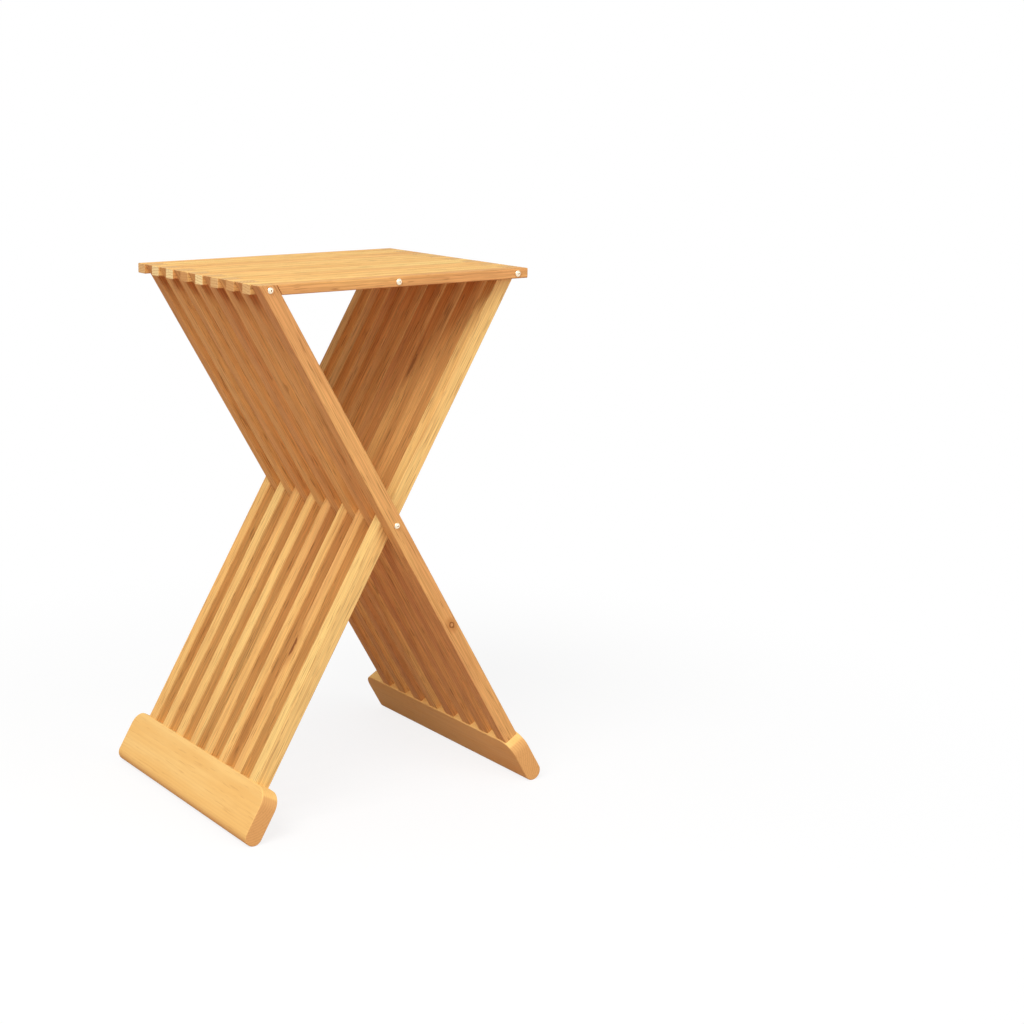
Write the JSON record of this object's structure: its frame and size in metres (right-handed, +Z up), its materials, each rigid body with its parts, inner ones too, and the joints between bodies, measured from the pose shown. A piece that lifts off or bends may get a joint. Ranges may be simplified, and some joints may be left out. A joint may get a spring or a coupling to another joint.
{
  "type": "folding stool",
  "caption": "Tall folding stool of interleaved wooden slats: crossed leg frames on foot boards carry a flat slatted seat that lifts in the middle as the legs close.",
  "frame": {"origin": "on the floor, midway between the ends of the foot bars, below the crossing pivot", "axes": "+X along the seat slats, +Y along the pivot rods to the back, +Z up"},
  "size_m": [0.47, 0.372, 0.7111],
  "materials": {
    "seat_wood": "oiled hardwood, honey coloured, fine grain along each slat",
    "leg_wood": "oiled hardwood, honey to reddish brown, fine grain along each slat",
    "foot_wood": "oiled hardwood, lighter, grain along the board",
    "cap_metal": "pale plated metal, satin",
    "rod_steel": "plain steel rod"
  },
  "bodies": {
    "leg_frame_a": {"leg_a_slat_1": "leg_wood", "leg_a_slat_2": "leg_wood", "leg_a_slat_3": "leg_wood", "leg_a_slat_4": "leg_wood", "leg_a_slat_5": "leg_wood", "leg_a_slat_6": "leg_wood", "leg_a_slat_7": "leg_wood", "leg_a_slat_8": "leg_wood", "foot_bar_a": "foot_wood", "pivot_rod_left": "rod_steel", "cap_left_front": "cap_metal", "cap_left_back": "cap_metal", "pivot_rod_cross": "rod_steel", "cap_cross_front": "cap_metal", "cap_cross_back": "cap_metal"},
    "leg_frame_b": {"leg_b_slat_1": "leg_wood", "leg_b_slat_2": "leg_wood", "leg_b_slat_3": "leg_wood", "leg_b_slat_4": "leg_wood", "leg_b_slat_5": "leg_wood", "leg_b_slat_6": "leg_wood", "leg_b_slat_7": "leg_wood", "leg_b_slat_8": "leg_wood", "foot_bar_b": "foot_wood", "pivot_rod_right": "rod_steel", "cap_right_front": "cap_metal", "cap_right_back": "cap_metal"},
    "seat_a": {"seat_a_slat_1": "seat_wood", "seat_a_slat_2": "seat_wood", "seat_a_slat_3": "seat_wood", "seat_a_slat_4": "seat_wood", "seat_a_slat_5": "seat_wood", "seat_a_slat_6": "seat_wood", "seat_a_slat_7": "seat_wood", "seat_a_slat_8": "seat_wood", "middle_rod_a": "rod_steel", "cap_middle_back": "cap_metal"},
    "seat_b": {"seat_b_slat_1": "seat_wood", "seat_b_slat_2": "seat_wood", "seat_b_slat_3": "seat_wood", "seat_b_slat_4": "seat_wood", "seat_b_slat_5": "seat_wood", "seat_b_slat_6": "seat_wood", "seat_b_slat_7": "seat_wood", "seat_b_slat_8": "seat_wood", "middle_rod_b": "rod_steel", "cap_middle_front": "cap_metal"}
  },
  "joints": [
    {"name": "fold", "type": "hinge", "parent": "leg_frame_a", "child": "leg_frame_b", "pos_m": [0, 0, 0.38942], "axis": [0, -1, 0], "range_deg": [0, 57.09]},
    {"name": "seat_a_lift", "type": "hinge", "parent": "leg_frame_a", "child": "seat_a", "pos_m": [-0.186, 0, 0.70463], "axis": [0, -1, 0], "range_deg": [0, 114.62]},
    {"name": "seat_b_lift", "type": "hinge", "parent": "leg_frame_b", "child": "seat_b", "pos_m": [0.186, 0, 0.70463], "axis": [0, 1, 0], "range_deg": [0, 114.62]}
  ],
  "couplings": [
    {"joint": "seat_a_lift", "follows": "fold", "ratio": 2.0075},
    {"joint": "seat_b_lift", "follows": "fold", "ratio": 2.0075}
  ]
}
